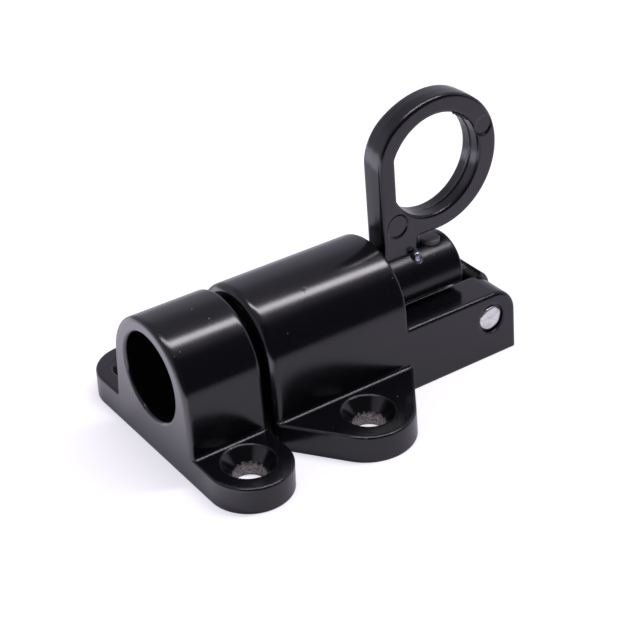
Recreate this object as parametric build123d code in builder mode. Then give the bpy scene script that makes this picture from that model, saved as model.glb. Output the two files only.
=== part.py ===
from build123d import *
import os
from math import acos, atan2, cos, degrees, hypot, radians, sin, tan

# Units are millimetres. X runs along the bolt towards the ring, Z up from the
# mounting plane. The origin lies midway between the housing's two screw holes.

# Arched section shared by the keeper and the barrel
arch_radius = 10.0
arch_centre_z = 12.15
side_draft = 4.7
bolt_axis_z = 13.0
ear_thickness = 4.3
ear_rim_fillet = 0.35
root_fillet = 0.5
fit_gap = 0.02

# Keeper
keeper_gap = 1.5
keeper_length = 13.0
keeper_bore_radius = 7.0
keeper_mouth_chamfer = 0.3
keeper_hole_y = 15.5
keeper_ear_y = 15.65
keeper_edge_fillet = 0.6

# Housing
housing_front = -13.0
barrel_length = 25.1
tail_length = 21.3
ear_hole_y = 16.0
ear_tip_y = 15.1
ear_tip_radius = 7.85
ear_draft = 3.0
ear_corner_inset = 0.1
ear_heel = 0.5
ledge_z = 10.7
ledge_edge_fillet = 0.6
tail_end_radius = 4.0
end_wall = 2.0
end_wall_rise = 1.0
pocket_width = 8.0
pocket_floor = 2.0
barrel_front_fillet = 1.3
barrel_rear_fillet = 0.5

# Screw holes
screw_hole_radius = 2.5
screw_sink_radius = 4.1
screw_sink_angle = 75.0

# Sliding bolt
bolt_radius = 5.5
bolt_clearance = 0.06
bolt_throw = 6.5
bolt_end_clearance = 0.2
bolt_rear_fillet = 0.4
bolt_front_chamfer = 1.0
bolt_flat_gap = 0.25
bolt_flat_setback = 0.3

# Pull ring
ring_thickness = 4.2
ring_draft = 2.5
ring_rim_chamfer = 0.3
ring_outer_radius = 11.35
ring_rim_width = 3.0
keel_gap = 2.0
neck_setback = 1.5
neck_width = 6.7
throat_fillet = 0.5
shank_setback = 0.3
shank_length = 4.5
shank_bottom_z = 3.0
shoulder_overhang = 0.8
shoulder_rise = 1.85
shoulder_tightness = 3.5
crown_setback = 0.15
eye_offset_x = -0.66
cheek_width = 3.25
eye_corner_radius = 0.5
low_mark_radius = 1.9
low_mark_angle = 228.0
low_mark_margin = 0.75
high_mark_radius = 1.55
high_mark_angle = 24.4
high_mark_margin = 0.4
mark_depth = 0.15

# Cross pin and spring
pin_setback = 4.9
pin_z = 6.6
pin_radius = 1.6
pin_head_radius = 2.25
pin_head_depth = 0.7
pin_head_chamfer = 0.2
pin_sink_clearance = 0.2
spring_mean_radius = 2.3
spring_wire_radius = 0.3
spring_turns = 5.0

# Stud and foot pin, let into the bolt from above
stud_setback = 3.3
stud_y = -0.6
stud_head_radius = 1.75
stud_head_height = 0.85
stud_head_chamfer = 0.2
stud_sunk = 0.6
stud_clearance = 0.08
stud_stem_radius = 1.0
stud_stem_length = 3.0
foot_pin_inset = 1.0
foot_pin_radius = 0.7
foot_pin_length = 3.6
foot_pin_sunk = 3.5
foot_pin_dome = 0.5

keeper_front = housing_front - keeper_gap - keeper_length
keeper_mid = keeper_front + keeper_length / 2
keeper_rear = keeper_front + keeper_length
barrel_rear = housing_front + barrel_length
tail_end = barrel_rear + tail_length
pocket_end = tail_end - end_wall
pocket_half = pocket_width / 2
end_wall_z = ledge_z + end_wall_rise
bore_radius = bolt_radius + bolt_clearance
draft = radians(side_draft)
bolt_front = housing_front - bolt_throw
bolt_rear = tail_end - bolt_throw - bolt_end_clearance
bolt_top = bolt_axis_z + bolt_radius
bolt_flat_z = end_wall_z + bolt_flat_gap
bolt_flat_start = barrel_rear - bolt_throw - bolt_flat_setback
neck_front = barrel_rear + neck_setback
neck_rear = neck_front + neck_width
shank_front = barrel_rear + shank_setback
shank_rear = shank_front + shank_length
half_plate = ring_thickness / 2
pin_x = tail_end - pin_setback
stud_x = neck_rear + stud_setback
stud_seat_z = bolt_top - stud_sunk
foot_pin_x = neck_rear - foot_pin_inset
foot_pin_y = -half_plate - foot_pin_radius - fit_gap
foot_pin_seat_z = bolt_top - foot_pin_sunk


def side_y(z):
    """Half width of the drafted sides at height z."""
    tangent_z = arch_centre_z + arch_radius * sin(draft)
    return arch_radius * cos(draft) + (tangent_z - z) * tan(draft)


def arch_face(x):
    """Arched section standing on the mounting plane at station x."""
    left = (-arch_radius * cos(draft), arch_centre_z + arch_radius * sin(draft))
    right = (-left[0], left[1])
    with BuildSketch(Plane.YZ.offset(x)) as section:
        with BuildLine():
            Line((-side_y(0), 0), left)
            ThreePointArc(left, (0, arch_centre_z + arch_radius), right)
            Line(right, (side_y(0), 0))
            Line((side_y(0), 0), (-side_y(0), 0))
        make_face()
    return section.sketch


def tangent_point(px, py, cx, cy, radius, turn):
    """Point where the line from (px, py) touches the circle."""
    reach = hypot(cx - px, cy - py)
    swing = acos(radius / reach)
    base = atan2(py - cy, px - cx)
    return (cx + radius * cos(base + turn * swing), cy + radius * sin(base + turn * swing))


def housing_ear_face():
    """Ear tapering from both ends of the barrel to a round tip on the -Y side."""
    root = -side_y(0)
    inner = -(side_y(0) + pocket_half) / 2
    start = (housing_front + ear_corner_inset, root)
    finish = (barrel_rear + ear_heel, root)
    tip = (0, -ear_tip_y)
    touch_a = tangent_point(start[0], start[1], tip[0], tip[1], ear_tip_radius, 1)
    touch_b = tangent_point(finish[0], finish[1], tip[0], tip[1], ear_tip_radius, -1)
    with BuildSketch() as ear:
        with BuildLine():
            Line((start[0], inner), start)
            Line(start, touch_a)
            ThreePointArc(touch_a, (0, -ear_tip_y - ear_tip_radius), touch_b)
            Line(touch_b, finish)
            Line(finish, (finish[0], inner))
            Line((finish[0], inner), (start[0], inner))
        make_face()
    return ear.sketch


def root_strip(start, length):
    """Small concave fillet along the foot of both drafted sides."""
    foot = side_y(ear_thickness)
    rise = ear_thickness + root_fillet
    with BuildPart() as strip:
        with BuildSketch(Plane.YZ.offset(start)):
            for turn in (-1, 1):
                with BuildLine():
                    low = (turn * (foot + root_fillet), ear_thickness)
                    high = (turn * side_y(rise), rise)
                    corner = (turn * (foot - root_fillet), ear_thickness - root_fillet)
                    RadiusArc(low, high, turn * root_fillet)
                    Line(high, (corner[0], rise))
                    Line((corner[0], rise), corner)
                    Line(corner, (low[0], corner[1]))
                    Line((low[0], corner[1]), low)
                make_face()
        extrude(amount=length)
    return strip.part


# Keeper: arched block with a bore and two round ears
with BuildPart() as keeper:
    with BuildPart(mode=Mode.PRIVATE) as arch_block:
        add(extrude(arch_face(keeper_front), amount=keeper_length, dir=(1, 0, 0)))
        ends = arch_block.edges().filter_by(
            lambda e: e.center().Z > ear_rim_fillet
            and (abs(e.center().X - keeper_front) < 0.01 or abs(e.center().X - keeper_rear) < 0.01))
        fillet(ends, keeper_edge_fillet)
    add(arch_block)
    with BuildPart(mode=Mode.PRIVATE) as ear_slab:
        with BuildSketch():
            with Locations((keeper_mid, 0)):
                SlotCenterToCenter(2 * keeper_ear_y, keeper_length, rotation=90)
        extrude(amount=ear_thickness)
        fillet(ear_slab.faces().sort_by(Axis.Z)[-1].edges(), ear_rim_fillet)
    add(ear_slab)
    add(root_strip(keeper_front + keeper_edge_fillet, keeper_length - 2 * keeper_edge_fillet))
    with BuildSketch(Plane.YZ.offset(keeper_front)):
        with Locations((0, bolt_axis_z)):
            Circle(keeper_bore_radius)
    extrude(amount=keeper_length, mode=Mode.SUBTRACT)
    mouths = keeper.edges().filter_by(GeomType.CIRCLE).filter_by(
        lambda e: abs(e.radius - keeper_bore_radius) < 0.01)
    chamfer(mouths, keeper_mouth_chamfer)
    with Locations((keeper_mid, keeper_hole_y, ear_thickness), (keeper_mid, -keeper_hole_y, ear_thickness)):
        CounterSinkHole(screw_hole_radius, screw_sink_radius, counter_sink_angle=screw_sink_angle)

# Housing: barrel, two tapered ears and an open tail with a ledge on each side
with BuildPart() as housing:
    with BuildSketch(Plane.YZ.offset(barrel_rear - end_wall)):
        with BuildLine():
            Polyline((-side_y(0), 0), (-side_y(ledge_z), ledge_z), (side_y(ledge_z), ledge_z),
                     (side_y(0), 0), (-side_y(0), 0))
        make_face()
    extrude(amount=tail_length + end_wall)
    fillet(housing.edges().filter_by(Axis.Y).group_by(Axis.Z)[-1].sort_by(Axis.X)[-1], tail_end_radius)
    brows = housing.edges().filter_by(Axis.X).group_by(Axis.Z)[-1]
    fillet(brows, ledge_edge_fillet)
    with BuildPart(mode=Mode.PRIVATE) as wall_top:
        with Locations((tail_end, 0, end_wall_z)):
            Box(end_wall + pocket_half, pocket_width, ledge_z - pocket_floor,
                align=(Align.MAX, Align.CENTER, Align.MAX))
        rim = wall_top.edges().filter_by(Axis.Y).group_by(Axis.Z)[-1].sort_by(Axis.X)[-1]
        fillet(rim, tail_end_radius)
    add(wall_top)
    with BuildPart(mode=Mode.PRIVATE) as barrel:
        add(extrude(arch_face(housing_front), amount=barrel_length, dir=(1, 0, 0)))
        fronts = barrel.edges().filter_by(
            lambda e: abs(e.center().X - housing_front) < 0.01 and e.center().Z > ear_rim_fillet)
        fillet(fronts, barrel_front_fillet)
        rears = barrel.edges().filter_by(
            lambda e: abs(e.center().X - barrel_rear) < 0.01 and e.center().Z > arch_centre_z + 1)
        fillet(rears, barrel_rear_fillet)
    add(barrel)
    with BuildPart(mode=Mode.PRIVATE) as ear:
        extrude(housing_ear_face(), amount=ear_thickness, taper=ear_draft)
        rim = ear.edges().filter_by(
            lambda e: abs(e.center().Z - ear_thickness) < 0.01 and e.center().Y < -side_y(0) - 0.1)
        fillet(rim, ear_rim_fillet)
    add(ear)
    add(mirror(ear.part, about=Plane.XZ))
    add(root_strip(housing_front + barrel_front_fillet, barrel_length - barrel_front_fillet))
    with BuildSketch(Plane.YZ.offset(housing_front)):
        with Locations((0, bolt_axis_z)):
            Circle(bore_radius)
    extrude(amount=barrel_length, mode=Mode.SUBTRACT)
    with Locations(((barrel_rear + pocket_end) / 2, 0, pocket_floor)):
        Box(pocket_end - barrel_rear, pocket_width, 2 * arch_radius,
            align=(Align.CENTER, Align.CENTER, Align.MIN), mode=Mode.SUBTRACT)
    wall_y = side_y(pin_z)
    seat_y = wall_y - pin_head_depth
    with Locations(Location((pin_x, 0, pin_z), (90, 0, 0))):
        Cylinder(pin_radius + fit_gap, 3 * arch_radius, mode=Mode.SUBTRACT)
    for side in (-1, 1):
        with Locations(Location((pin_x, side * (seat_y + arch_radius / 2), pin_z), (90, 0, 0))):
            Cylinder(pin_head_radius + pin_sink_clearance, arch_radius, mode=Mode.SUBTRACT)
    with Locations((0, ear_hole_y, ear_thickness), (0, -ear_hole_y, ear_thickness)):
        CounterSinkHole(screw_hole_radius, screw_sink_radius, counter_sink_angle=screw_sink_angle)

# Sliding bolt: round bar, flat below over its rear half, slotted for the ring's neck
with BuildPart() as bolt:
    with Locations(Location((bolt_front, 0, bolt_axis_z), (0, 90, 0))):
        Cylinder(bolt_radius, bolt_rear - bolt_front, align=(Align.CENTER, Align.CENTER, Align.MIN))
    fillet(bolt.edges().filter_by(GeomType.CIRCLE).sort_by(Axis.X)[-1], bolt_rear_fillet)
    chamfer(bolt.edges().filter_by(GeomType.CIRCLE).sort_by(Axis.X)[0], bolt_front_chamfer)
    with Locations((bolt_flat_start, 0, bolt_flat_z)):
        Box(bolt_rear - bolt_flat_start, 3 * bolt_radius, 2 * bolt_radius,
            align=(Align.MIN, Align.CENTER, Align.MAX), mode=Mode.SUBTRACT)
    with Locations((neck_front, 0, bolt_axis_z)):
        Box(neck_width, ring_thickness, 3 * bolt_radius,
            align=(Align.MIN, Align.CENTER, Align.CENTER), mode=Mode.SUBTRACT)
    with Locations((stud_x, stud_y, stud_seat_z)):
        Cylinder(stud_head_radius + stud_clearance, bolt_radius,
                 align=(Align.CENTER, Align.CENTER, Align.MIN), mode=Mode.SUBTRACT)
        Cylinder(stud_stem_radius + fit_gap, stud_stem_length + fit_gap,
                 align=(Align.CENTER, Align.CENTER, Align.MAX), mode=Mode.SUBTRACT)
    with Locations((foot_pin_x, foot_pin_y, foot_pin_seat_z)):
        Cylinder(foot_pin_radius + fit_gap, bolt_radius,
                 align=(Align.CENTER, Align.CENTER, Align.MIN), mode=Mode.SUBTRACT)

# Outline of the ring, as a round with a taller shoulder over its neck
ring_centre_z = bolt_top + keel_gap + ring_outer_radius
shoulder_start = (neck_front - shoulder_overhang, ring_centre_z + shoulder_rise)
shoulder_radius = ring_outer_radius - shoulder_tightness
ring_centre_x = shoulder_start[0] + ring_outer_radius + crown_setback
crown = (ring_centre_x, ring_centre_z + ring_outer_radius)
far_side = (ring_centre_x + ring_outer_radius, ring_centre_z)
keel = (ring_centre_x, ring_centre_z - ring_outer_radius)
lean = atan2(-shoulder_overhang, shoulder_start[1] - keel[1])
shoulder_centre = (shoulder_start[0] + shoulder_radius * cos(lean),
                   shoulder_start[1] - shoulder_radius * sin(lean))
rise_x = crown[0] - shoulder_centre[0]
rise_z = crown[1] - shoulder_centre[1]
brow_radius = (rise_x ** 2 + rise_z ** 2 - shoulder_radius ** 2) / (2 * (rise_z - shoulder_radius))
brow_centre = (crown[0], crown[1] - brow_radius)
brow_reach = hypot(rise_x, brow_radius - rise_z)
brow_start = (brow_centre[0] - brow_radius * rise_x / brow_reach,
              brow_centre[1] + brow_radius * (brow_radius - rise_z) / brow_reach)

# Eye of the ring, flat on the cheek's side, and the two shallow marks in its face
eye_radius = ring_outer_radius - ring_rim_width
eye_centre = (ring_centre_x + eye_offset_x, ring_centre_z)
eye_chord_x = shoulder_start[0] + cheek_width
low_mark_reach = eye_radius + low_mark_margin + low_mark_radius
low_mark = (eye_centre[0] + low_mark_reach * cos(radians(low_mark_angle)),
            eye_centre[1] + low_mark_reach * sin(radians(low_mark_angle)))
high_mark_reach = ring_outer_radius - high_mark_margin - high_mark_radius
high_mark = (ring_centre_x + high_mark_reach * cos(radians(high_mark_angle)),
             ring_centre_z + high_mark_reach * sin(radians(high_mark_angle)))

# Pull ring: drafted flat plate with an eye, a neck and a shank through the bolt
with BuildPart() as ring_half:
    with BuildSketch(Plane.XZ):
        with BuildLine() as outline:
            neck_line = Line((neck_front, bolt_flat_z), (neck_front, keel[1]))
            cheek = Line(neck_line @ 1, shoulder_start)
            shoulder = TangentArc(shoulder_start, brow_start, tangent=cheek % 1)
            TangentArc(brow_start, crown, tangent=shoulder % 1)
            ThreePointArc(crown, far_side, keel)
            throat = FilletPolyline(keel, (neck_rear, keel[1]), (neck_rear, bolt_flat_z),
                                    radius=throat_fillet)
            Line(throat @ 1, (neck_front, bolt_flat_z))
        make_face()
        with BuildSketch(mode=Mode.PRIVATE) as eye:
            with Locations(eye_centre):
                Circle(eye_radius)
            with Locations(Location((eye_chord_x, eye_centre[1]), -degrees(lean))):
                Rectangle(4 * eye_radius, 4 * eye_radius, align=(Align.MAX, Align.CENTER),
                          mode=Mode.SUBTRACT)
            fillet(eye.vertices(), eye_corner_radius)
        add(eye.sketch, mode=Mode.SUBTRACT)
    extrude(amount=half_plate, taper=ring_draft)
    rims = ring_half.faces().sort_by(Axis.Y)[0].edges().filter_by(
        lambda e: e.center().Z > keel[1] - throat_fillet / 2)
    chamfer(rims, ring_rim_chamfer)
    for mark, mark_radius in ((low_mark, low_mark_radius), (high_mark, high_mark_radius)):
        with Locations(Location((mark[0], -half_plate, mark[1]), (90, 0, 0))):
            Cylinder(mark_radius, 2 * mark_depth, mode=Mode.SUBTRACT)
with BuildPart() as pull_ring:
    add(ring_half)
    add(mirror(ring_half.part, about=Plane.XZ))
    with Locations((neck_front, 0, bolt_flat_z)):
        Box(neck_width, ring_thickness, bolt_top - bolt_flat_z,
            align=(Align.MIN, Align.CENTER, Align.MIN))
    with Locations((shank_front, 0, shank_bottom_z)):
        Box(shank_length, ring_thickness, bolt_flat_z - shank_bottom_z,
            align=(Align.MIN, Align.CENTER, Align.MIN))

# Cross pin: shank through both walls, flat peened heads
with BuildPart() as cross_pin:
    with Locations(Location((pin_x, 0, pin_z), (90, 0, 0))):
        Cylinder(pin_radius, 2 * seat_y + fit_gap)
    for side in (-1, 1):
        with Locations(Location((pin_x, side * (seat_y + pin_head_depth / 2), pin_z), (90, 0, 0))):
            Cylinder(pin_head_radius, pin_head_depth)
    outer = cross_pin.edges().filter_by(GeomType.CIRCLE).filter_by(
        lambda e: abs(abs(e.center().Y) - wall_y) < 0.01)
    chamfer(outer, pin_head_chamfer)

# Spring: open coil between the ring's shank and the cross pin
spring_front = shank_rear + fit_gap
spring_rear = pin_x - pin_radius - fit_gap
spring_length = spring_rear - spring_front - 2 * spring_wire_radius
with BuildPart() as spring:
    with BuildLine() as coil:
        Helix(pitch=spring_length / spring_turns, height=spring_length, radius=spring_mean_radius,
              center=(spring_front + spring_wire_radius, 0, pin_z), direction=(1, 0, 0))
    with BuildSketch(Plane(origin=coil.line @ 0, z_dir=coil.line % 0)):
        RegularPolygon(spring_wire_radius, 8)
    sweep(is_frenet=True)

# Stud: flat round head let into the top of the bolt
with BuildPart() as stud:
    with Locations((stud_x, stud_y, stud_seat_z)):
        Cylinder(stud_head_radius, stud_head_height, align=(Align.CENTER, Align.CENTER, Align.MIN))
        Cylinder(stud_stem_radius, stud_stem_length, align=(Align.CENTER, Align.CENTER, Align.MAX))
    chamfer(stud.edges().filter_by(GeomType.CIRCLE).sort_by(Axis.Z)[-1], stud_head_chamfer)

# Foot pin: small domed pin end beside the neck of the ring
with BuildPart() as foot_pin:
    with Locations((foot_pin_x, foot_pin_y, foot_pin_seat_z)):
        Cylinder(foot_pin_radius, foot_pin_length, align=(Align.CENTER, Align.CENTER, Align.MIN))
    fillet(foot_pin.edges().filter_by(GeomType.CIRCLE).sort_by(Axis.Z)[-1], foot_pin_dome)

os.makedirs("parts", exist_ok=True)
keeper.part.label = "keeper"
housing.part.label = "housing"
bolt.part.label = "bolt"
pull_ring.part.label = "pull_ring"
cross_pin.part.label = "cross_pin"
spring.part.label = "spring"
stud.part.label = "stud"
foot_pin.part.label = "foot_pin"
export_step(keeper.part, "parts/keeper.step")
export_step(housing.part, "parts/housing.step")
export_step(bolt.part, "parts/bolt.step")
export_step(pull_ring.part, "parts/pull_ring.step")
export_step(cross_pin.part, "parts/cross_pin.step")
export_step(spring.part, "parts/spring.step")
export_step(stud.part, "parts/stud.step")
export_step(foot_pin.part, "parts/foot_pin.step")
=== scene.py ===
"""Looks of a surface-mounted spring latch: finishes, small surface detail, studio and camera.

Lengths are written in millimetres and go to Blender in metres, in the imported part's own frame:
X runs along the bolt from the keeper to the pull ring, Z up from the mounting plane.
"""

from __future__ import annotations

import logging
import math
import random
from abc import ABC, abstractmethod
from dataclasses import dataclass
from enum import Enum

import bmesh
import bpy
from mathutils import Matrix, Vector

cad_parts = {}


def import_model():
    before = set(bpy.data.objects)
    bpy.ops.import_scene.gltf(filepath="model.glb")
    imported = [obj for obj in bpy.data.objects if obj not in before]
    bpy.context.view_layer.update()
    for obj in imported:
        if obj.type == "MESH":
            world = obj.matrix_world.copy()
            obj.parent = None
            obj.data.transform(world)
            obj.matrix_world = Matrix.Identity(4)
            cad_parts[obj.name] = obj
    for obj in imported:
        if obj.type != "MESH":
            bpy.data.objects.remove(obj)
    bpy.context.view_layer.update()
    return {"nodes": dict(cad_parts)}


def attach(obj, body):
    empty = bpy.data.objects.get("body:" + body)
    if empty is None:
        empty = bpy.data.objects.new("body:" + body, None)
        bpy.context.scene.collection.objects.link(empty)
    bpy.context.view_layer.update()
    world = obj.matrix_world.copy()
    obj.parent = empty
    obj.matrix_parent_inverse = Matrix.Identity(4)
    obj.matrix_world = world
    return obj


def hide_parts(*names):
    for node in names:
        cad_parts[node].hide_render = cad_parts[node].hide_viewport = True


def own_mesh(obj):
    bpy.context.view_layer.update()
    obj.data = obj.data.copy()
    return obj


LOG = logging.getLogger("spring_latch")
MM = 0.001
SEED = 7

Colour = tuple[float, float, float]
Point = tuple[float, float, float]
Pair = tuple[float, float]
Socket = bpy.types.NodeSocket
Feed = Socket | float | Vector | tuple[float, ...]


class Part(Enum):
    """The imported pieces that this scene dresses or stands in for."""

    HOUSING = "housing"
    KEEPER = "keeper"
    BOLT = "bolt"
    RING = "pull_ring"
    STUD = "stud"
    FOOT_PIN = "foot_pin"
    CROSS_PIN = "cross_pin"
    SPRING = "spring"


class Body(Enum):
    """The two bodies that the latch's only joint connects."""

    FRAME = "frame_side"
    SLIDE = "bolt_slide"


class Grain(Enum):
    """Direction of the fine marks that a finish carries."""

    NONE = "none"
    ALONG_BOLT = "along_bolt"


def metres(point: Point) -> Vector:
    """Turns a point written in millimetres into metres."""
    return Vector(point) * MM


def shader_colour(colour: Colour, share: float = 1.0) -> tuple[float, float, float, float]:
    """Gives a colour, or a share of it, the fourth value that a colour socket takes."""
    return (colour[0] * share, colour[1] * share, colour[2] * share, 1.0)


@dataclass(frozen=True)
class Specks:
    """Scatter of small round specks, some cells of a grid having one."""

    cells_to_metre: float
    radius_share: float
    filled_share: float


class NodeTree:
    """Adds shader nodes, joins them and does small sums with them."""

    EDGE_MATCH: Pair = (0.995, 0.86)
    SPECK_CORE: float = 0.5

    def __init__(self, tree: bpy.types.NodeTree) -> None:
        """Empties the tree that is built.

        Args:
            tree: Node tree of a material or a world.
        """
        self.tree = tree
        tree.nodes.clear()

    @classmethod
    def for_material(cls, name: str) -> tuple[bpy.types.Material, NodeTree]:
        """Makes a material with an empty tree.

        Args:
            name: The material's name.

        Returns:
            The material and the helper that fills its tree.
        """
        material = bpy.data.materials.new(name)
        material.use_nodes = True
        return material, cls(material.node_tree)

    def add(self, kind: str, settings: dict[str, object] | None = None,
            **inputs: Feed) -> bpy.types.Node:
        """Adds a node.

        Args:
            kind: The node's type without the ShaderNode prefix.
            settings: The node's own properties, by name.
            **inputs: Socket values or links by socket name, with underscores for spaces.

        Returns:
            The new node.
        """
        node = self.tree.nodes.new("ShaderNode" + kind)
        for name, value in (settings or {}).items():
            setattr(node, name, value)
        for name, value in inputs.items():
            self.feed(node.inputs[name.replace("_", " ")], value)
        return node

    def feed(self, socket: Socket, value: Feed) -> None:
        """Links a socket to another one, or sets its value.

        Args:
            socket: Input socket that is fed.
            value: Output socket, number or colour.
        """
        if isinstance(value, bpy.types.NodeSocket):
            self.tree.links.new(value, socket)
        else:
            socket.default_value = value

    def sum(self, operation: str, first: Feed, second: Feed = 0.0, third: Feed = 0.0) -> Socket:
        """Does one sum.

        Args:
            operation: Name of the Math node's operation.
            first: First number or socket.
            second: Second number or socket.
            third: Third number or socket, where the operation has one.

        Returns:
            The socket with the result.
        """
        node = self.add("Math", {"operation": operation})
        for socket, value in zip(node.inputs, (first, second, third)):
            self.feed(socket, value)
        return node.outputs[0]

    def vector(self, operation: str, first: Feed, second: Feed) -> bpy.types.Node:
        """Does one sum on vectors.

        Args:
            operation: Name of the Vector Math node's operation.
            first: First vector or socket.
            second: Second vector or socket.

        Returns:
            The node, whose outputs are Vector and Value.
        """
        node = self.add("VectorMath", {"operation": operation})
        self.feed(node.inputs[0], first)
        self.feed(node.inputs[1], second)
        return node

    def ramp(self, value: Socket, start: float, end: float, low: float = 0.0,
             high: float = 1.0) -> Socket:
        """Smooth change from one number to another over a range.

        Args:
            value: Socket that is mapped.
            start: Value at which the result is low.
            end: Value at which the result is high.
            low: Result before start.
            high: Result past end.

        Returns:
            The socket with the result.
        """
        node = self.add("MapRange", {"interpolation_type": "SMOOTHSTEP"}, Value=value,
                        From_Min=start, From_Max=end, To_Min=low, To_Max=high)
        return node.outputs["Result"]

    def blend(self, share: Feed, first: Feed, second: Feed) -> Socket:
        """Mixes two colours.

        Args:
            share: Share of the second colour.
            first: First colour or socket.
            second: Second colour or socket.

        Returns:
            The socket with the mixed colour.
        """
        node = self.add("MixRGB")
        for socket, value in zip(node.inputs, (share, first, second)):
            self.feed(socket, value)
        return node.outputs[0]

    def place(self) -> Socket:
        """Gives the point's place in the part's own frame."""
        return self.add("TexCoord").outputs["Object"]

    def noise(self, place: Socket, scale: float, detail: float = 2.0,
              stretch: Point = (1.0, 1.0, 1.0)) -> Socket:
        """Adds a noise pattern.

        Args:
            place: Socket with the point's place.
            scale: Waves to the metre.
            detail: Octaves.
            stretch: Factor on the place along each axis.

        Returns:
            The socket with the pattern's value, from 0 to 1.
        """
        scaled = self.vector("MULTIPLY", place, stretch).outputs["Vector"]
        return self.add("TexNoise", Vector=scaled, Scale=scale, Detail=detail).outputs["Fac"]

    def specks(self, place: Socket, scatter: Specks) -> Socket:
        """Scatters small round specks.

        Args:
            place: Socket with the point's place.
            scatter: Size and number of the specks.

        Returns:
            The socket with the specks' mask.
        """
        cell = self.add("TexVoronoi", Vector=place, Scale=scatter.cells_to_metre)
        spot = self.ramp(cell.outputs["Distance"], scatter.radius_share,
                         scatter.radius_share * self.SPECK_CORE)
        chance = self.add("SeparateColor", Color=cell.outputs["Color"]).outputs["Red"]
        chosen = self.sum("LESS_THAN", chance, scatter.filled_share)
        return self.sum("MULTIPLY", spot, chosen)

    def edges(self, radius: Feed, samples: int) -> tuple[Socket, Socket]:
        """Softens sharp edges and finds them.

        Args:
            radius: Radius of the softening, as a number or a socket.
            samples: Rays to a point.

        Returns:
            The sockets with the softened normal and the mask of the edges.
        """
        soft = self.add("Bevel", {"samples": samples}, Radius=radius).outputs["Normal"]
        true = self.add("NewGeometry").outputs["Normal"]
        match = self.vector("DOT_PRODUCT", soft, true).outputs["Value"]
        return soft, self.ramp(match, *self.EDGE_MATCH)

    def join(self, first: Socket, second: Socket) -> Socket:
        """Adds two shaders."""
        return self.mix(None, first, second)

    def mix(self, share: Feed | None, first: Socket, second: Socket) -> Socket:
        """Puts two shaders together.

        Args:
            share: Share of the second shader, or None to add the two.
            first: First shader.
            second: Second shader.

        Returns:
            The socket with the joint shader.
        """
        node = self.add("AddShader") if share is None else self.add("MixShader", Fac=share)
        self.tree.links.new(first, node.inputs[-2])
        self.tree.links.new(second, node.inputs[-1])
        return node.outputs[0]

    def finish(self, shader: Socket) -> None:
        """Joins the shader to the tree's output."""
        output = self.add("OutputMaterial")
        self.tree.links.new(shader, output.inputs["Surface"])


@dataclass(frozen=True)
class Blemish:
    """Small round dent at one place on a casting."""

    place: Point
    radius: float
    depth: float


@dataclass(frozen=True)
class Mark:
    """Round ejector mark in a face that stands across the Y axis."""

    centre: Pair
    radius: float
    depth: float
    lip: float


class RounderEdges(ABC):
    """Stretch of a piece whose edges are rounder than the rest."""

    @abstractmethod
    def spread(self, nodes: NodeTree, place: Socket, plain: float) -> Socket:
        """Widens the softening over the stretch.

        Args:
            nodes: The material's tree.
            place: Socket with the point's place.
            plain: Radius of the softening elsewhere, in metres.

        Returns:
            The socket with the radius in metres.
        """


@dataclass(frozen=True)
class KeeperNose(RounderEdges):
    """Front end of the keeper, with the rim of its bore left crisp."""

    front_x: float = -27.5
    full_length: float = 1.56
    faded_length: float = 2.6
    low_z: float = 6.0
    rise: float = 1.0
    bore_axis_z: float = 13.0
    bore_clear: float = 8.4
    bore_fade: float = 0.2
    radius: float = 1.3

    def spread(self, nodes: NodeTree, place: Socket, plain: float) -> Socket:
        """Widens the softening near the front, above the foot and clear of the bore.

        Args:
            nodes: The material's tree.
            place: Socket with the point's place.
            plain: Radius of the softening elsewhere, in metres.

        Returns:
            The socket with the radius in metres.
        """
        apart = nodes.add("SeparateXYZ", Vector=place)
        near = nodes.ramp(apart.outputs["X"], (self.front_x + self.faded_length) * MM,
                          (self.front_x + self.full_length) * MM)
        high = nodes.ramp(apart.outputs["Z"], self.low_z * MM, (self.low_z + self.rise) * MM)
        across = nodes.vector("MULTIPLY", place, (0.0, 1.0, 1.0)).outputs["Vector"]
        axis = metres((0.0, 0.0, self.bore_axis_z))
        reach = nodes.vector("DISTANCE", across, axis).outputs["Value"]
        clear = nodes.ramp(reach, self.bore_clear * MM, (self.bore_clear + self.bore_fade) * MM)
        both = nodes.sum("MULTIPLY", nodes.sum("MULTIPLY", near, high), clear)
        return nodes.sum("MULTIPLY_ADD", both, self.radius * MM - plain, plain)


@dataclass(frozen=True)
class RingRim(RounderEdges):
    """Outer rim of the pull ring, away from its flat faces and its eye."""

    eye_centre: Pair = (23.64, 31.85)
    reach: float = 9.2
    fade: float = 0.4
    facing: Pair = (0.8, 0.4)
    radius: float = 0.9

    def spread(self, nodes: NodeTree, place: Socket, plain: float) -> Socket:
        """Widens the softening outside the eye, where the surface faces sideways.

        Args:
            nodes: The material's tree.
            place: Socket with the point's place.
            plain: Radius of the softening elsewhere, in metres.

        Returns:
            The socket with the radius in metres.
        """
        flat = nodes.vector("MULTIPLY", place, (1.0, 0.0, 1.0)).outputs["Vector"]
        middle = metres((self.eye_centre[0], 0.0, self.eye_centre[1]))
        out = nodes.vector("DISTANCE", flat, middle).outputs["Value"]
        outside = nodes.ramp(out, (self.reach - self.fade) * MM, self.reach * MM)
        normal = nodes.add("NewGeometry").outputs["Normal"]
        across = nodes.add("SeparateXYZ", Vector=normal).outputs["Y"]
        side = nodes.ramp(nodes.sum("ABSOLUTE", across), *self.facing)
        return nodes.sum("MULTIPLY_ADD", nodes.sum("MULTIPLY", outside, side),
                         self.radius * MM - plain, plain)


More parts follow.
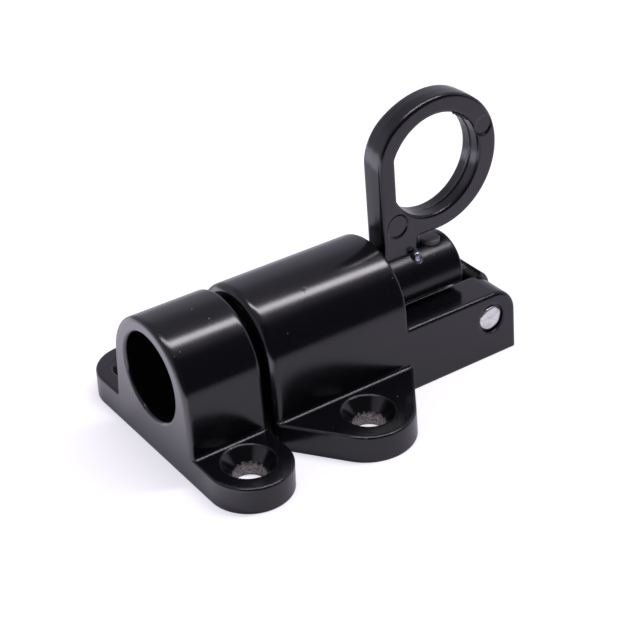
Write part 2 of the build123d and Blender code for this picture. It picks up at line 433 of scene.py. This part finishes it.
@dataclass(frozen=True)
class TailLedge(RounderEdges):
    """Outer edges of the two ledges beside the bolt."""

    front_x: float = 12.0
    outer_half: float = 8.2
    low_z: float = 8.8
    high_z: float = 12.4
    radius: float = 0.7

    def spread(self, nodes: NodeTree, place: Socket, plain: float) -> Socket:
        """Widens the softening in the band along the ledges' outer edges.

        Args:
            nodes: The material's tree.
            place: Socket with the point's place.
            plain: Radius of the softening elsewhere, in metres.

        Returns:
            The socket with the radius in metres.
        """
        apart = nodes.add("SeparateXYZ", Vector=place)
        across = nodes.sum("ABSOLUTE", apart.outputs["Y"])
        behind = nodes.sum("GREATER_THAN", apart.outputs["X"], self.front_x * MM)
        over = nodes.sum("GREATER_THAN", apart.outputs["Z"], self.low_z * MM)
        under = nodes.sum("LESS_THAN", apart.outputs["Z"], self.high_z * MM)
        outer = nodes.sum("GREATER_THAN", across, self.outer_half * MM)
        band = nodes.sum("MULTIPLY", nodes.sum("MULTIPLY", behind, outer),
                         nodes.sum("MULTIPLY", over, under))
        return nodes.sum("MULTIPLY_ADD", band, self.radius * MM - plain, plain)


@dataclass(frozen=True)
class ScrewRub:
    """Bare metal on the lower walls of the screw holes, where screws have rubbed the coat off."""

    axes: tuple[Pair, ...]
    reach: float = 2.62
    height: float = 2.3
    fade: Pair = (0.8, 0.4)
    ragged_scale: float = 1900.0
    ragged_height: float = 1.6
    colour: Colour = (0.62, 0.57, 0.54)
    stained_share: float = 0.12
    mottle_scale: float = 3800.0
    mottle_range: Pair = (0.3, 0.7)
    pitting_scale: float = 5200.0
    pitting_depth: float = 0.09
    metallic: float = 0.3
    rougher: float = 0.28

    def mask(self, nodes: NodeTree, place: Socket) -> Socket:
        """Finds the bare metal.

        Args:
            nodes: The material's tree.
            place: Socket with the point's place.

        Returns:
            The socket with the mask.
        """
        apart = nodes.add("SeparateXYZ", Vector=place)
        ragged = nodes.noise(place, self.ragged_scale, 3.0)
        inside: Feed = 0.0
        for axis_x, axis_y in self.axes:
            flat = nodes.add("CombineXYZ", X=apart.outputs["X"], Y=apart.outputs["Y"])
            axis = metres((axis_x, axis_y, 0.0))
            out = nodes.vector("DISTANCE", flat.outputs[0], axis).outputs["Value"]
            inside = nodes.sum("ADD", inside, nodes.sum("LESS_THAN", out, self.reach * MM))
        height = nodes.sum("MULTIPLY_ADD", ragged, self.ragged_height * MM, apart.outputs["Z"])
        low = nodes.ramp(height, (self.height + self.fade[0]) * MM,
                         (self.height + self.fade[1]) * MM)
        return nodes.sum("MULTIPLY", inside, low)

    def metal(self, nodes: NodeTree, place: Socket) -> Socket:
        """Gives the mottled colour of the bare metal.

        Args:
            nodes: The material's tree.
            place: Socket with the point's place.

        Returns:
            The socket with the colour.
        """
        mottle = nodes.ramp(nodes.noise(place, self.mottle_scale, 4.0), *self.mottle_range)
        return nodes.blend(mottle, shader_colour(self.colour, self.stained_share),
                           shader_colour(self.colour))


@dataclass(frozen=True)
class BlackCoat:
    """Glossy black lacquer over a die casting."""

    name: str
    colour: Colour = (0.0052, 0.005, 0.0068)
    ior: float = 1.6
    roughness: float = 0.17
    roughness_spread: Pair = (0.94, 1.08)
    cloud_scale: float = 140.0
    cloud_range: Pair = (0.3, 0.7)
    grain: Grain = Grain.NONE
    grain_stretch: float = 0.25
    peel_scale: float = 420.0
    peel_depth: float = 0.0022
    grit_scale: float = 3780.0
    grit_depth: float = 0.0006
    pits: Specks = Specks(800.0, 0.11, 0.1)
    pit_depth: float = 0.006
    edge_radius: float = 0.6
    edge_samples: int = 10
    rounder: RounderEdges | None = None
    wear: float = 1.0
    # Lighter colour of the edges: partly the thin, rubbed coat and partly painted highlight lines.
    worn_and_highlight_colour: Colour = (0.08, 0.077, 0.082)
    worn_least: float = 0.3
    worn_rougher: float = 0.1
    smear_scale: float = 900.0
    smear_stretch: Point = (0.3, 1.0, 1.0)
    smear_range: Pair = (0.35, 0.75)
    dust: Specks = Specks(900.0, 0.13, 0.08)
    dust_colour: Colour = (0.22, 0.22, 0.23)
    dust_upward: Pair = (0.3, 0.6)
    dust_rougher: float = 0.4
    rub: ScrewRub | None = None
    blemishes: tuple[Blemish, ...] = ()
    marks: tuple[Mark, ...] = ()

    def height(self, nodes: NodeTree, place: Socket) -> Socket:
        """Adds up the lacquer's orange peel, its grit, the pits and the blemishes.

        Args:
            nodes: The material's tree.
            place: Socket with the point's place.

        Returns:
            The socket with the height in metres.
        """
        along = self.grain_stretch if self.grain is Grain.ALONG_BOLT else 1.0
        stretch = (along, 1.0, 1.0)
        peel = nodes.noise(place, self.peel_scale, 1.0, stretch)
        grit = nodes.noise(place, self.grit_scale, 3.0, stretch)
        total = nodes.sum("MULTIPLY", peel, self.peel_depth * MM)
        total = nodes.sum("MULTIPLY_ADD", grit, self.grit_depth * MM, total)
        pits = nodes.specks(place, self.pits)
        total = nodes.sum("MULTIPLY_ADD", pits, -self.pit_depth * MM, total)
        for blemish in self.blemishes:
            reach = nodes.vector("DISTANCE", place, metres(blemish.place)).outputs["Value"]
            bowl = nodes.ramp(reach, blemish.radius * MM, 0.0)
            total = nodes.sum("MULTIPLY_ADD", bowl, -blemish.depth * MM, total)
        flat = nodes.vector("MULTIPLY", place, (1.0, 0.0, 1.0)).outputs["Vector"]
        for mark in self.marks:
            middle = metres((mark.centre[0], 0.0, mark.centre[1]))
            reach = nodes.vector("DISTANCE", flat, middle).outputs["Value"]
            bowl = nodes.ramp(reach, (mark.radius + mark.lip) * MM, (mark.radius - mark.lip) * MM)
            total = nodes.sum("MULTIPLY_ADD", bowl, -mark.depth * MM, total)
        return total

    def edge_wear_and_sheen_mask(self, nodes: NodeTree, place: Socket, edge: Socket) -> Socket:
        """Finds the edges where the coat is thin, which also carry painted highlight lines.

        Args:
            nodes: The material's tree.
            place: Socket with the point's place.
            edge: Mask of the edges.

        Returns:
            The socket with the mask.
        """
        smear = nodes.noise(place, self.smear_scale, 4.0, self.smear_stretch)
        patchy = nodes.ramp(smear, *self.smear_range, self.worn_least * self.wear, self.wear)
        return nodes.sum("MULTIPLY", edge, patchy)

    def dust_mask(self, nodes: NodeTree, place: Socket) -> Socket:
        """Finds the specks of dust on the surfaces that face up.

        Args:
            nodes: The material's tree.
            place: Socket with the point's place.

        Returns:
            The socket with the mask.
        """
        facing = nodes.add("NewGeometry").outputs["Normal"]
        upward = nodes.ramp(nodes.add("SeparateXYZ", Vector=facing).outputs["Z"],
                            *self.dust_upward)
        return nodes.sum("MULTIPLY", nodes.specks(place, self.dust), upward)

    def material(self) -> bpy.types.Material:
        """Builds the material.

        Returns:
            The finished material.
        """
        made, nodes = NodeTree.for_material(self.name)
        place = nodes.place()
        plain = self.edge_radius * MM
        reach = self.rounder.spread(nodes, place, plain) if self.rounder else plain
        soft, edge = nodes.edges(reach, self.edge_samples)
        edge_wear_and_sheen = self.edge_wear_and_sheen_mask(nodes, place, edge)
        dust = self.dust_mask(nodes, place)
        # Edges get the lighter colour: rubbed coat and painted highlight lines.
        colour = nodes.blend(edge_wear_and_sheen, shader_colour(self.colour), shader_colour(self.worn_and_highlight_colour))
        colour = nodes.blend(dust, colour, shader_colour(self.dust_colour))
        cloud = nodes.noise(place, self.cloud_scale, 3.0)
        smooth, rough = (self.roughness * share for share in self.roughness_spread)
        roughness = nodes.ramp(cloud, *self.cloud_range, smooth, rough)
        roughness = nodes.sum("MULTIPLY_ADD", edge_wear_and_sheen, self.worn_rougher, roughness)
        roughness = nodes.sum("MULTIPLY_ADD", dust, self.dust_rougher, roughness)
        height = self.height(nodes, place)
        metallic: Feed = 0.0
        if self.rub:
            bare = self.rub.mask(nodes, place)
            colour = nodes.blend(bare, colour, self.rub.metal(nodes, place))
            roughness = nodes.sum("MULTIPLY_ADD", bare, self.rub.rougher, roughness)
            metallic = nodes.sum("MULTIPLY", bare, self.rub.metallic)
            pitting = nodes.noise(place, self.rub.pitting_scale, 4.0)
            pitted = nodes.sum("MULTIPLY", pitting, bare)
            height = nodes.sum("MULTIPLY_ADD", pitted, self.rub.pitting_depth * MM, height)
        bump = nodes.add("Bump", Strength=1.0, Distance=1.0, Height=height, Normal=soft)
        shader = nodes.add("BsdfPrincipled", Base_Color=colour, Roughness=roughness, IOR=self.ior,
                           Metallic=metallic, Normal=bump.outputs["Normal"])
        nodes.finish(shader.outputs["BSDF"])
        return made


@dataclass(frozen=True)
class BareSteel:
    """Uncoated steel with hammer marks, scratches and a stained skin."""

    name: str
    colour: Colour = (0.97, 0.98, 0.96)
    stain: Colour = (0.72, 0.73, 0.71)
    stain_scale: float = 900.0
    stain_range: Pair = (0.35, 0.7)
    roughness: float = 0.3
    roughness_spread: Pair = (0.8, 1.35)
    scratch_scale: float = 2400.0
    scratch_stretch: Point = (0.2, 1.0, 1.0)
    scratch_range: Pair = (0.3, 0.7)
    dent_scale: float = 1500.0
    dent_depth: float = 0.06
    fine_scale: float = 9000.0
    fine_share: float = 0.06

    def material(self) -> bpy.types.Material:
        """Builds the material.

        Returns:
            The finished material.
        """
        made, nodes = NodeTree.for_material(self.name)
        place = nodes.place()
        cloud = nodes.ramp(nodes.noise(place, self.stain_scale, 4.0), *self.stain_range)
        scratch = nodes.noise(place, self.scratch_scale, 3.0, self.scratch_stretch)
        colour = nodes.blend(cloud, shader_colour(self.colour), shader_colour(self.stain))
        smooth, rough = (self.roughness * share for share in self.roughness_spread)
        roughness = nodes.ramp(scratch, *self.scratch_range, smooth, rough)
        dents = nodes.noise(place, self.dent_scale, 1.0)
        fine = nodes.noise(place, self.fine_scale, 3.0)
        height = nodes.sum("MULTIPLY", dents, self.dent_depth * MM)
        height = nodes.sum("MULTIPLY_ADD", fine, self.dent_depth * self.fine_share * MM, height)
        bump = nodes.add("Bump", Strength=1.0, Distance=1.0, Height=height)
        shader = nodes.add("BsdfPrincipled", Base_Color=colour, Metallic=1.0, Roughness=roughness,
                           Normal=bump.outputs["Normal"])
        nodes.finish(shader.outputs["BSDF"])
        return made


@dataclass(frozen=True)
class TableWhite:
    """White table that keeps the shadow, with a painted reflection glow on the left and a painted
    dark reflection in front, both seen only in reflections.
    """

    name: str = "table_white"
    colour: Colour = (0.86, 0.85, 0.9)
    camera_glow: float = 0.54
    camera_colour: Colour = (1.0, 0.99, 1.02)
    mirror_glow: float = 0.1
    mirror_colour: Colour = (1.0, 0.955, 1.12)
    # Painted reflection: extra glow on the left, and painted dark reflection: black far in front,
    # both for glossy and transmission rays only.
    left_painted_reflection_glow: float = 1.2
    left_painted_reflection_band: Pair = (-24.0, -42.0)
    front_painted_dark_reflection_band: Pair = (-50.0, -190.0)
    painted_dark_reflection_colour: Colour = (0.0, 0.0, 0.0)

    def material(self) -> bpy.types.Material:
        """Builds the material.

        Returns:
            The finished material.
        """
        made, nodes = NodeTree.for_material(self.name)
        apart = nodes.add("SeparateXYZ", Vector=nodes.add("NewGeometry").outputs["Position"])
        path = nodes.add("LightPath")
        seen = nodes.sum("MAXIMUM", path.outputs["Is Glossy Ray"],
                         path.outputs["Is Transmission Ray"])
        # Painted reflection: the table glows brighter towards the left, for glossy and transmission
        # rays only.
        left = nodes.ramp(apart.outputs["X"], self.left_painted_reflection_band[0] * MM, self.left_painted_reflection_band[1] * MM,
                          0.0, self.left_painted_reflection_glow)
        glow = nodes.sum("MULTIPLY", seen, nodes.sum("ADD", left, self.mirror_glow))
        white = nodes.add("BsdfDiffuse", Color=shader_colour(self.colour)).outputs[0]
        lift = nodes.sum("MULTIPLY", path.outputs["Is Camera Ray"], self.camera_glow)
        lit = nodes.add("Emission", Color=shader_colour(self.camera_colour), Strength=lift)
        mirrored = nodes.add("Emission", Color=shader_colour(self.mirror_colour), Strength=glow)
        whole = nodes.join(nodes.join(white, lit.outputs[0]), mirrored.outputs[0])
        # Painted dark reflection: far in front the table turns black, for glossy and transmission
        # rays only.
        front = nodes.ramp(apart.outputs["Y"], self.front_painted_dark_reflection_band[0] * MM, self.front_painted_dark_reflection_band[1] * MM)
        black = nodes.add("BsdfDiffuse", Color=shader_colour(self.painted_dark_reflection_colour)).outputs[0]
        nodes.finish(nodes.mix(nodes.sum("MULTIPLY", seen, front), whole, black))
        return made


@dataclass(frozen=True)
class Softbox:
    """Rectangular lamp that faces the latch."""

    name: str
    toward: Point
    distance: float
    long_side: float
    short_side: float
    watts: float
    long_axis: Point
    colour: Colour
    aim: Point = (0.0, 0.0, 15.0)

    def build(self) -> None:
        """Hangs the lamp."""
        data = bpy.data.lights.new(self.name, "AREA")
        data.shape = "RECTANGLE"
        data.size = self.long_side * MM
        data.size_y = self.short_side * MM
        data.energy = self.watts
        data.color = self.colour
        lamp = bpy.data.objects.new(self.name, data)
        back = Vector(self.toward).normalized()
        side = (Vector(self.long_axis) - back * back.dot(Vector(self.long_axis))).normalized()
        up = back.cross(side)
        turn = Matrix((side, up, back)).transposed().to_4x4()
        place = metres(self.aim) + back * self.distance * MM
        lamp.matrix_world = Matrix.Translation(place) @ turn
        bpy.context.scene.collection.objects.link(lamp)
        LOG.info("lamp %s", self.name)


@dataclass
class Studio:
    """White table, a strip softbox, a pale backdrop and the camera at the photograph's angle."""

    camera_place: Point = (-120.484, -177.661, 147.874)
    camera_right: Point = (0.81238, -0.58261, -0.0246)
    camera_up: Point = (0.32857, 0.4225, 0.84471)
    lens: float = 93.829
    sensor_width: float = 36.0
    clip_start: float = 10.0
    floor_half: float = 1200.0
    floor_drop: float = 0.02
    backdrop: float = 0.52
    ceiling: float = 0.3
    dark_side: float = 0.035
    rise_band: Pair = (0.45, 0.75)
    dark_band: Pair = (-0.36, -0.56)
    room_colour: Colour = (1.0, 0.955, 1.12)
    seen_colour: Colour = (1.0, 1.0, 1.0)
    strip_box: Softbox = Softbox("strip_box", toward=(0.25, -0.055, 1.0), distance=820.0,
                                 long_side=760.0, short_side=125.0, watts=3.2,
                                 long_axis=(1.0, -0.42, 0.0), colour=(1.0, 0.965, 1.03))

    def place_camera(self) -> None:
        """Puts the camera where the photograph was taken."""
        data = bpy.data.cameras.new("camera")
        data.lens = self.lens
        data.sensor_width = self.sensor_width
        data.clip_start = self.clip_start * MM
        camera = bpy.data.objects.new("camera", data)
        bpy.context.scene.collection.objects.link(camera)
        right = Vector(self.camera_right).normalized()
        back = right.cross(Vector(self.camera_up)).normalized()
        up = back.cross(right)
        turn = Matrix((right, up, back)).transposed().to_4x4()
        camera.matrix_world = Matrix.Translation(metres(self.camera_place)) @ turn
        bpy.context.scene.camera = camera

    def lay_floor(self) -> None:
        """Makes the white table top."""
        half = self.floor_half * MM
        mesh = bpy.data.meshes.new("floor")
        corners = [(-half, -half, 0), (half, -half, 0), (half, half, 0), (-half, half, 0)]
        mesh.from_pydata(corners, [], [(0, 1, 2, 3)])
        floor = bpy.data.objects.new("floor", mesh)
        floor.location.z = -self.floor_drop * MM
        bpy.context.scene.collection.objects.link(floor)
        mesh.materials.append(TableWhite().material())

    def wrap(self) -> None:
        """Surrounds the table with a pale backdrop that darkens upwards and towards the lens side."""
        world = bpy.data.worlds.new("studio")
        bpy.context.scene.world = world
        world.use_nodes = True
        nodes = NodeTree(world.node_tree)
        way = nodes.add("TexCoord").outputs["Generated"]
        apart = nodes.add("SeparateXYZ", Vector=way)
        rise = nodes.ramp(apart.outputs["Z"], *self.rise_band, self.backdrop, self.ceiling)
        front = nodes.ramp(apart.outputs["Y"], *self.dark_band)
        level = nodes.sum("MULTIPLY_ADD", nodes.sum("SUBTRACT", self.dark_side, rise), front, rise)
        room = nodes.add("Background", Color=shader_colour(self.room_colour), Strength=level)
        white = nodes.add("Background", Color=shader_colour(self.seen_colour), Strength=1.0)
        both = nodes.mix(nodes.add("LightPath").outputs["Is Camera Ray"], room.outputs[0],
                         white.outputs[0])
        nodes.tree.links.new(both, nodes.add("OutputWorld").inputs["Surface"])

    def build(self) -> None:
        """Sets the whole studio."""
        self.place_camera()
        self.lay_floor()
        self.wrap()
        self.strip_box.build()
        bpy.context.scene.view_settings.view_transform = "Standard"


def dress(nodes: dict[str, bpy.types.Object], part: Part, material: bpy.types.Material) -> None:
    """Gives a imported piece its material.

    Args:
        nodes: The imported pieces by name.
        part: The piece.
        material: Its material.
    """
    mesh = nodes[part.value].data
    mesh.materials.clear()
    mesh.materials.append(material)
    LOG.info("dressed %s", part.value)


def add_piece(name: str, mesh: bpy.types.Mesh, body: Body,
              material: bpy.types.Material) -> bpy.types.Object:
    """Adds a modelled piece that rides on a body.

    Args:
        name: The piece's name.
        mesh: Its mesh.
        body: The body that it rides on.
        material: Its material.

    Returns:
        The new object.
    """
    piece = bpy.data.objects.new(name, mesh)
    bpy.context.scene.collection.objects.link(piece)
    mesh.materials.append(material)
    for face in mesh.polygons:
        face.use_smooth = True
    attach(piece, body.value)
    LOG.info("built %s", name)
    return piece


def skin(name: str, rings: list[list[Vector]]) -> bpy.types.Mesh:
    """Stretches a skin over rings of points and closes both ends.

    Args:
        name: The mesh's name.
        rings: Rings of equally many points, in metres.

    Returns:
        The mesh.
    """
    shape = bmesh.new()
    rows = [[shape.verts.new(point) for point in ring] for ring in rings]
    for first, second in zip(rows, rows[1:]):
        for here in range(len(first)):
            after = (here + 1) % len(first)
            shape.faces.new((first[here], first[after], second[after], second[here]))
    shape.faces.new(rows[0])
    shape.faces.new(rows[-1])
    bmesh.ops.recalc_face_normals(shape, faces=shape.faces)
    mesh = bpy.data.meshes.new(name)
    shape.to_mesh(mesh)
    shape.free()
    return mesh


@dataclass
class Castings:
    """The housing and the keeper, lacquered black, with the ears' screw holes."""

    nodes: dict[str, bpy.types.Object]
    housing_holes: tuple[Pair, ...] = ((0.0, 16.0), (0.0, -16.0))
    keeper_holes: tuple[Pair, ...] = ((-21.0, 15.5), (-21.0, -15.5))
    barrel_ding: Blemish = Blemish((-3.1, -4.5, 21.1), 0.6, 0.009)
    keeper_ding: Blemish = Blemish((-22.0, -10.4, 9.0), 0.9, 0.006)

    def dress(self) -> None:
        """Coats both castings."""
        dress(self.nodes, Part.HOUSING,
              BlackCoat("housing_black", rounder=TailLedge(), rub=ScrewRub(self.housing_holes),
                        blemishes=(self.barrel_ding,)).material())
        dress(self.nodes, Part.KEEPER,
              BlackCoat("keeper_black", rounder=KeeperNose(), rub=ScrewRub(self.keeper_holes),
                        blemishes=(self.keeper_ding,)).material())


@dataclass
class SlidingBolt:
    """The bolt, its pull ring, the stud and the small pin beside the ring's neck."""

    nodes: dict[str, bpy.types.Object]
    low_mark: Mark = Mark((16.28, 23.68), 1.88, 0.12, 0.22)
    high_mark: Mark = Mark((32.86, 35.73), 1.54, 0.12, 0.2)

    def dress(self) -> bpy.types.Material:
        """Coats the bolt's pieces.

        Returns:
            The ring's material.
        """
        ring = BlackCoat("ring_black", ior=1.66, roughness=0.2, wear=0.1, edge_samples=16,
                         rounder=RingRim(), marks=(self.low_mark, self.high_mark)).material()
        bolt = BlackCoat("bolt_black", ior=1.5, roughness=0.25, grain=Grain.ALONG_BOLT).material()
        # The stud is black; its grey colour is painted sheen, standing in for the light that its top
        # catches.
        stud = BlackCoat("stud_painted_sheen", colour=(0.15, 0.146, 0.15), roughness=0.32).material()
        pin = BareSteel("pin_blued", colour=(0.62, 0.68, 0.84), stain=(0.2, 0.23, 0.3)).material()
        dress(self.nodes, Part.BOLT, bolt)
        dress(self.nodes, Part.RING, ring)
        dress(self.nodes, Part.STUD, stud)
        dress(self.nodes, Part.FOOT_PIN, pin)
        return ring


@dataclass(frozen=True)
class Bead:
    """Thin raised line round part of the ring's eye."""

    name: str
    start: float
    end: float
    middle_y: float
    sink: float
    half_width: float
    height: float
    raggedness: float


@dataclass
class EyeFlash:
    """Thin flash left by the mould inside the ring's eye, with a burr at its upper end."""

    material: bpy.types.Material
    centre: Pair = (23.64, 31.85)
    radius: float = 8.35
    flash: Bead = Bead("eye_flash", -98.0, 58.0, 0.0, 0.06, 0.4, 0.22, 0.12)
    burr: Bead = Bead("eye_burr", 42.0, 68.0, -1.75, 0.02, 0.22, 0.24, 0.9)
    ripples: float = 37.0
    ripple_share: float = 0.5
    end_bluntness: float = 0.35
    end_share: float = 0.05
    end_width_share: float = 0.2
    steps: int = 90
    section: int = 10

    def lay(self, bead: Bead) -> None:
        """Lays a bead on the eye's wall.

        Args:
            bead: The bead's place and size.
        """
        rings = []
        foot = self.radius + bead.sink
        for step in range(self.steps + 1):
            share = step / self.steps
            angle = math.radians(bead.start + (bead.end - bead.start) * share)
            inner = 0.0 < share < 1.0
            swell = math.sin(math.pi * share) ** self.end_bluntness if inner else self.end_share
            ripple = (math.sin(self.ripples * share) * self.ripple_share
                      + random.uniform(-self.ripple_share, self.ripple_share))
            height = bead.height * swell * (1.0 + bead.raggedness * ripple)
            half_width = bead.half_width * max(swell, self.end_width_share)
            ring = []
            for turn in range(self.section):
                around = 2.0 * math.pi * turn / self.section
                out = foot - height * math.cos(around)
                ring.append(metres((self.centre[0] + out * math.cos(angle),
                                    bead.middle_y + half_width * math.sin(around),
                                    self.centre[1] + out * math.sin(angle))))
            rings.append(ring)
        add_piece(bead.name, skin(bead.name, rings), Body.SLIDE, self.material)

    def build(self) -> None:
        """Lays the flash and then the burr."""
        self.lay(self.flash)
        self.lay(self.burr)


@dataclass
class CrossPin:
    """Steel pin through the tail, both ends hammered flat into their sinks."""

    axis_x: float = 28.5
    axis_z: float = 6.6
    wall_y: float = 10.49
    shank_radius: float = 1.6
    head_depth: float = 0.7
    sunk: float = 0.04
    head_middle: Pair = (-0.15, 0.05)
    head_corners: tuple[Pair, ...] = (
        (-44.0, 2.2), (7.0, 2.0), (30.0, 2.05), (77.0, 2.14), (115.0, 2.1), (151.0, 2.4),
        (180.0, 2.4), (209.0, 2.34), (258.0, 2.22))
    head_rings: tuple[Pair, ...] = (
        (0.25, 0.0), (0.6, 0.01), (0.82, 0.0), (0.93, -0.05), (0.99, -0.16), (1.0, -0.34),
        (0.97, -0.68))
    side_steps: int = 6

    def outline(self) -> list[Vector]:
        """Walks round the hammered head.

        Returns:
            Points about the pin's axis, in millimetres, with the corners slightly rounded.
        """
        corners = [Vector((reach * math.cos(math.radians(angle)),
                           reach * math.sin(math.radians(angle))))
                   for angle, reach in self.head_corners]
        walk = [first.lerp(second, step / self.side_steps)
                for first, second in zip(corners, corners[1:] + corners[:1])
                for step in range(self.side_steps)]
        count = len(walk)
        return [(walk[here - 2] + walk[here - 1] + walk[here] + walk[(here + 1) % count]
                 + walk[(here + 2) % count]) / 5.0 for here in range(count)]

    def ring(self, points: list[Vector], y: float) -> list[Vector]:
        """Stands a ring of points about the pin's axis across Y."""
        return [metres((self.axis_x + point.x, y, self.axis_z + point.y)) for point in points]

    def build(self) -> None:
        """Builds the pin with its hammered heads."""
        edge = self.outline()
        middle = Vector(self.head_middle)
        neck = [point.normalized() * self.shank_radius for point in edge]
        face_y = self.wall_y - self.sunk
        rings = []
        for side in (-1.0, 1.0):
            head = [self.ring([middle + (point - middle) * share for point in edge],
                              side * (face_y + rise))
                    for share, rise in self.head_rings]
            head.append(self.ring(neck, side * (face_y - self.head_depth)))
            rings += head if side < 0 else list(reversed(head))
        pin = add_piece("cross_pin_peened", skin("cross_pin_peened", rings), Body.FRAME,
                        BareSteel("pin_steel").material())
        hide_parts(Part.CROSS_PIN.value)


@dataclass
class CoilSpring:
    """Round-wire coil between the ring's shank and the cross pin."""

    axis_z: float = 6.6
    front: float = 16.92
    rear: float = 26.88
    mean_radius: float = 2.3
    wire_radius: float = 0.3
    turns: float = 5.0
    steps: int = 140
    section: int = 12
    solid_share: float = 0.35

    def wire(self) -> list[list[Vector]]:
        """Walks round the turns.

        Returns:
            Rings of points round the wire, in metres.
        """
        along = Vector((1.0, 0.0, 0.0))
        length = self.rear - self.front - 2.0 * self.wire_radius
        rings = []
        for step in range(self.steps + 1):
            share = step / self.steps
            angle = 2.0 * math.pi * self.turns * share
            out = Vector((0.0, math.cos(angle), math.sin(angle)))
            centre = (out * self.mean_radius
                      + Vector((self.front + self.wire_radius + length * share, 0.0, self.axis_z)))
            turns = (2.0 * math.pi * point / self.section for point in range(self.section))
            rings.append([(centre + (out * math.cos(turn) + along * math.sin(turn))
                           * self.wire_radius) * MM for turn in turns])
        return rings

    def build(self) -> None:
        """Winds the spring on the frame side, hides the imported spring and gives the coil a mesh of
        its own.
        """
        steel = BareSteel("spring_steel", colour=(0.1, 0.1, 0.105), stain=(0.05, 0.05, 0.053),
                          roughness=0.45, dent_depth=0.002)
        coil = add_piece("coil_spring", skin("coil_spring", self.wire()), Body.FRAME,
                         steel.material())
        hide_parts(Part.SPRING.value)
        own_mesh(coil)


def main() -> None:
    """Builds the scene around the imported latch."""
    logging.basicConfig(level=logging.INFO, format="%(message)s")
    random.seed(SEED)
    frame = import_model()
    nodes = frame["nodes"]
    Castings(nodes).dress()
    ring_coat = SlidingBolt(nodes).dress()
    EyeFlash(ring_coat).build()
    CrossPin().build()
    CoilSpring().build()
    Studio().build()


if __name__ == "__main__":
    main()
